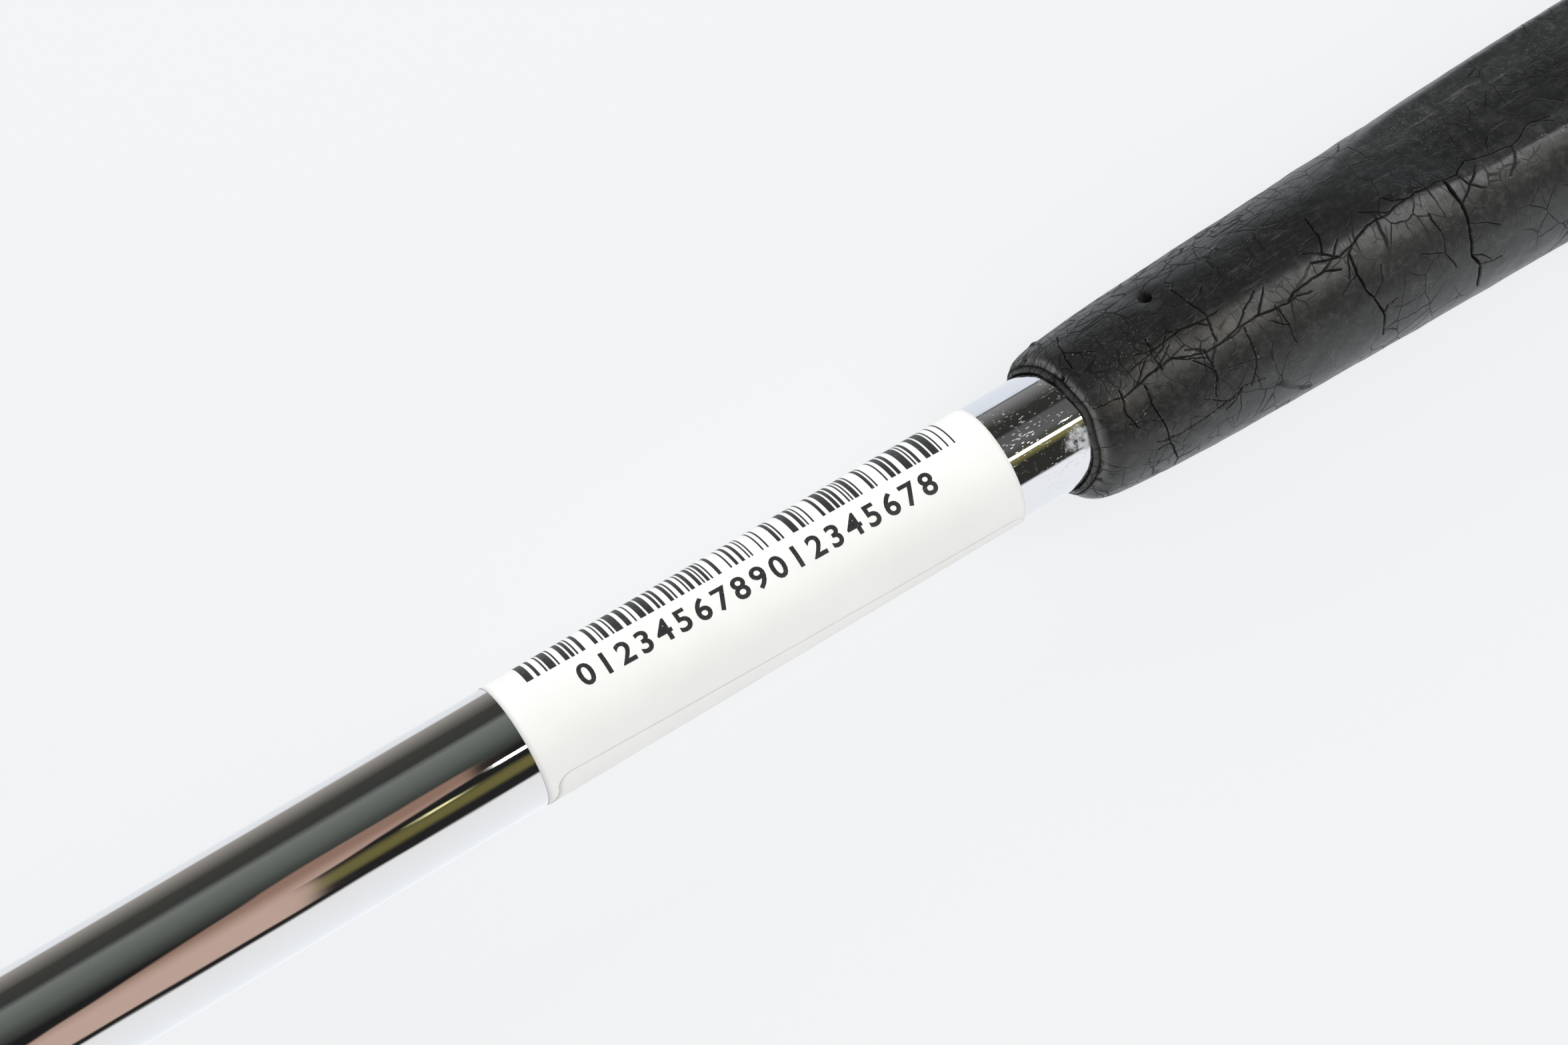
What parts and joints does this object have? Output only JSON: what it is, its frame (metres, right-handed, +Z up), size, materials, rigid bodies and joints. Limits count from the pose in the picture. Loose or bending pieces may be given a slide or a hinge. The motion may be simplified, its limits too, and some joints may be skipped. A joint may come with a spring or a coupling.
{
  "type": "white cane",
  "caption": "Telescopic white cane with a chromed handle tube, crazed black rubber grip, paper label, twist-lock sections and a rolling tip.",
  "frame": {"origin": "centre of the flat end face of the butt cap, on the cane's axis", "axes": "+X along the cane from the butt to the roller tip, +Z up with the cane lying level, +Y to the left seen from the butt"},
  "size_m": [1.203, 0.0286, 0.0286],
  "materials": {
    "grip_rubber": "aged black rubber, crazed all over, dull with a slight polish from handling",
    "cap_plastic": "black moulded plastic, satin",
    "buffer_rubber": "black moulded rubber",
    "chrome": "bright chrome plating with fine scratches and light pitting",
    "label_paper": "matt off-white adhesive paper with black print",
    "aluminium": "turned and clear anodised",
    "natural_nylon": "natural nylon, slightly translucent look",
    "nut_plastic": "black glass-filled nylon, moulded flutes",
    "white_paint": "white powder coat on aluminium tube, semi-gloss",
    "lower_paint": "white above and signal red below, semi-gloss paint on aluminium tube",
    "steel": "stainless steel, turned",
    "bearing_steel": "sealed bearing, ground faces",
    "roller_nylon": "white nylon, lightly scuffed"
  },
  "bodies": {
    "handle": {"grip": "grip_rubber", "butt_cap": "cap_plastic", "cap_pin": "steel", "stop_buffer": "buffer_rubber", "handle_tube": "chrome", "paper_label": "label_paper", "upper_lock_collar": "aluminium", "upper_lock_collet": "natural_nylon"},
    "upper_nut": {"upper_lock_nut": "nut_plastic"},
    "upper_bush": {"upper_guide_bush": "natural_nylon"},
    "upper_section": {"upper_tube": "white_paint", "upper_end_plug": "natural_nylon", "upper_stop_ring": "aluminium", "middle_lock_collar": "aluminium", "middle_lock_collet": "natural_nylon"},
    "middle_nut": {"middle_lock_nut": "nut_plastic"},
    "middle_bush": {"middle_guide_bush": "natural_nylon"},
    "middle_section": {"middle_tube": "white_paint", "middle_end_plug": "natural_nylon", "middle_stop_ring": "aluminium", "lower_lock_collar": "aluminium", "lower_lock_collet": "natural_nylon"},
    "lower_nut": {"lower_lock_nut": "nut_plastic"},
    "lower_bush": {"lower_guide_bush": "natural_nylon"},
    "lower_section": {"lower_tube": "lower_paint", "lower_end_plug": "natural_nylon", "lower_stop_ring": "aluminium", "tip_ferrule": "aluminium", "tip_stud": "steel", "bearing_spacer": "aluminium", "tip_washer": "steel", "tip_nut": "steel"},
    "roller": {"rear_bearing": "bearing_steel", "front_bearing": "bearing_steel", "tip_roller": "roller_nylon", "roller_nose_cap": "roller_nylon"}
  },
  "joints": [
    {"name": "upper_nut_turn", "type": "hinge", "parent": "handle", "child": "upper_nut", "pos_m": [0.35, 0, 0], "axis": [1, 0, 0], "range_deg": [0, 150]},
    {"name": "upper_slide", "type": "slide", "parent": "handle", "child": "upper_bush", "axis": [-1, 0, 0], "range_m": [0, 0.236]},
    {"name": "upper_turn", "type": "hinge", "parent": "upper_bush", "child": "upper_section", "pos_m": [0.35, 0, 0], "axis": [1, 0, 0], "continuous": true},
    {"name": "middle_nut_turn", "type": "hinge", "parent": "upper_section", "child": "middle_nut", "pos_m": [0.622, 0, 0], "axis": [1, 0, 0], "range_deg": [0, 150]},
    {"name": "middle_slide", "type": "slide", "parent": "upper_section", "child": "middle_bush", "axis": [-1, 0, 0], "range_m": [0, 0.228]},
    {"name": "middle_turn", "type": "hinge", "parent": "middle_bush", "child": "middle_section", "pos_m": [0.622, 0, 0], "axis": [1, 0, 0], "continuous": true},
    {"name": "lower_nut_turn", "type": "hinge", "parent": "middle_section", "child": "lower_nut", "pos_m": [0.886, 0, 0], "axis": [1, 0, 0], "range_deg": [0, 150]},
    {"name": "lower_slide", "type": "slide", "parent": "middle_section", "child": "lower_bush", "axis": [-1, 0, 0], "range_m": [0, 0.23]},
    {"name": "lower_turn", "type": "hinge", "parent": "lower_bush", "child": "lower_section", "pos_m": [0.886, 0, 0], "axis": [1, 0, 0], "continuous": true},
    {"name": "roller_spin", "type": "hinge", "parent": "lower_section", "child": "roller", "pos_m": [1.183, 0, 0], "axis": [1, 0, 0], "continuous": true}
  ]
}
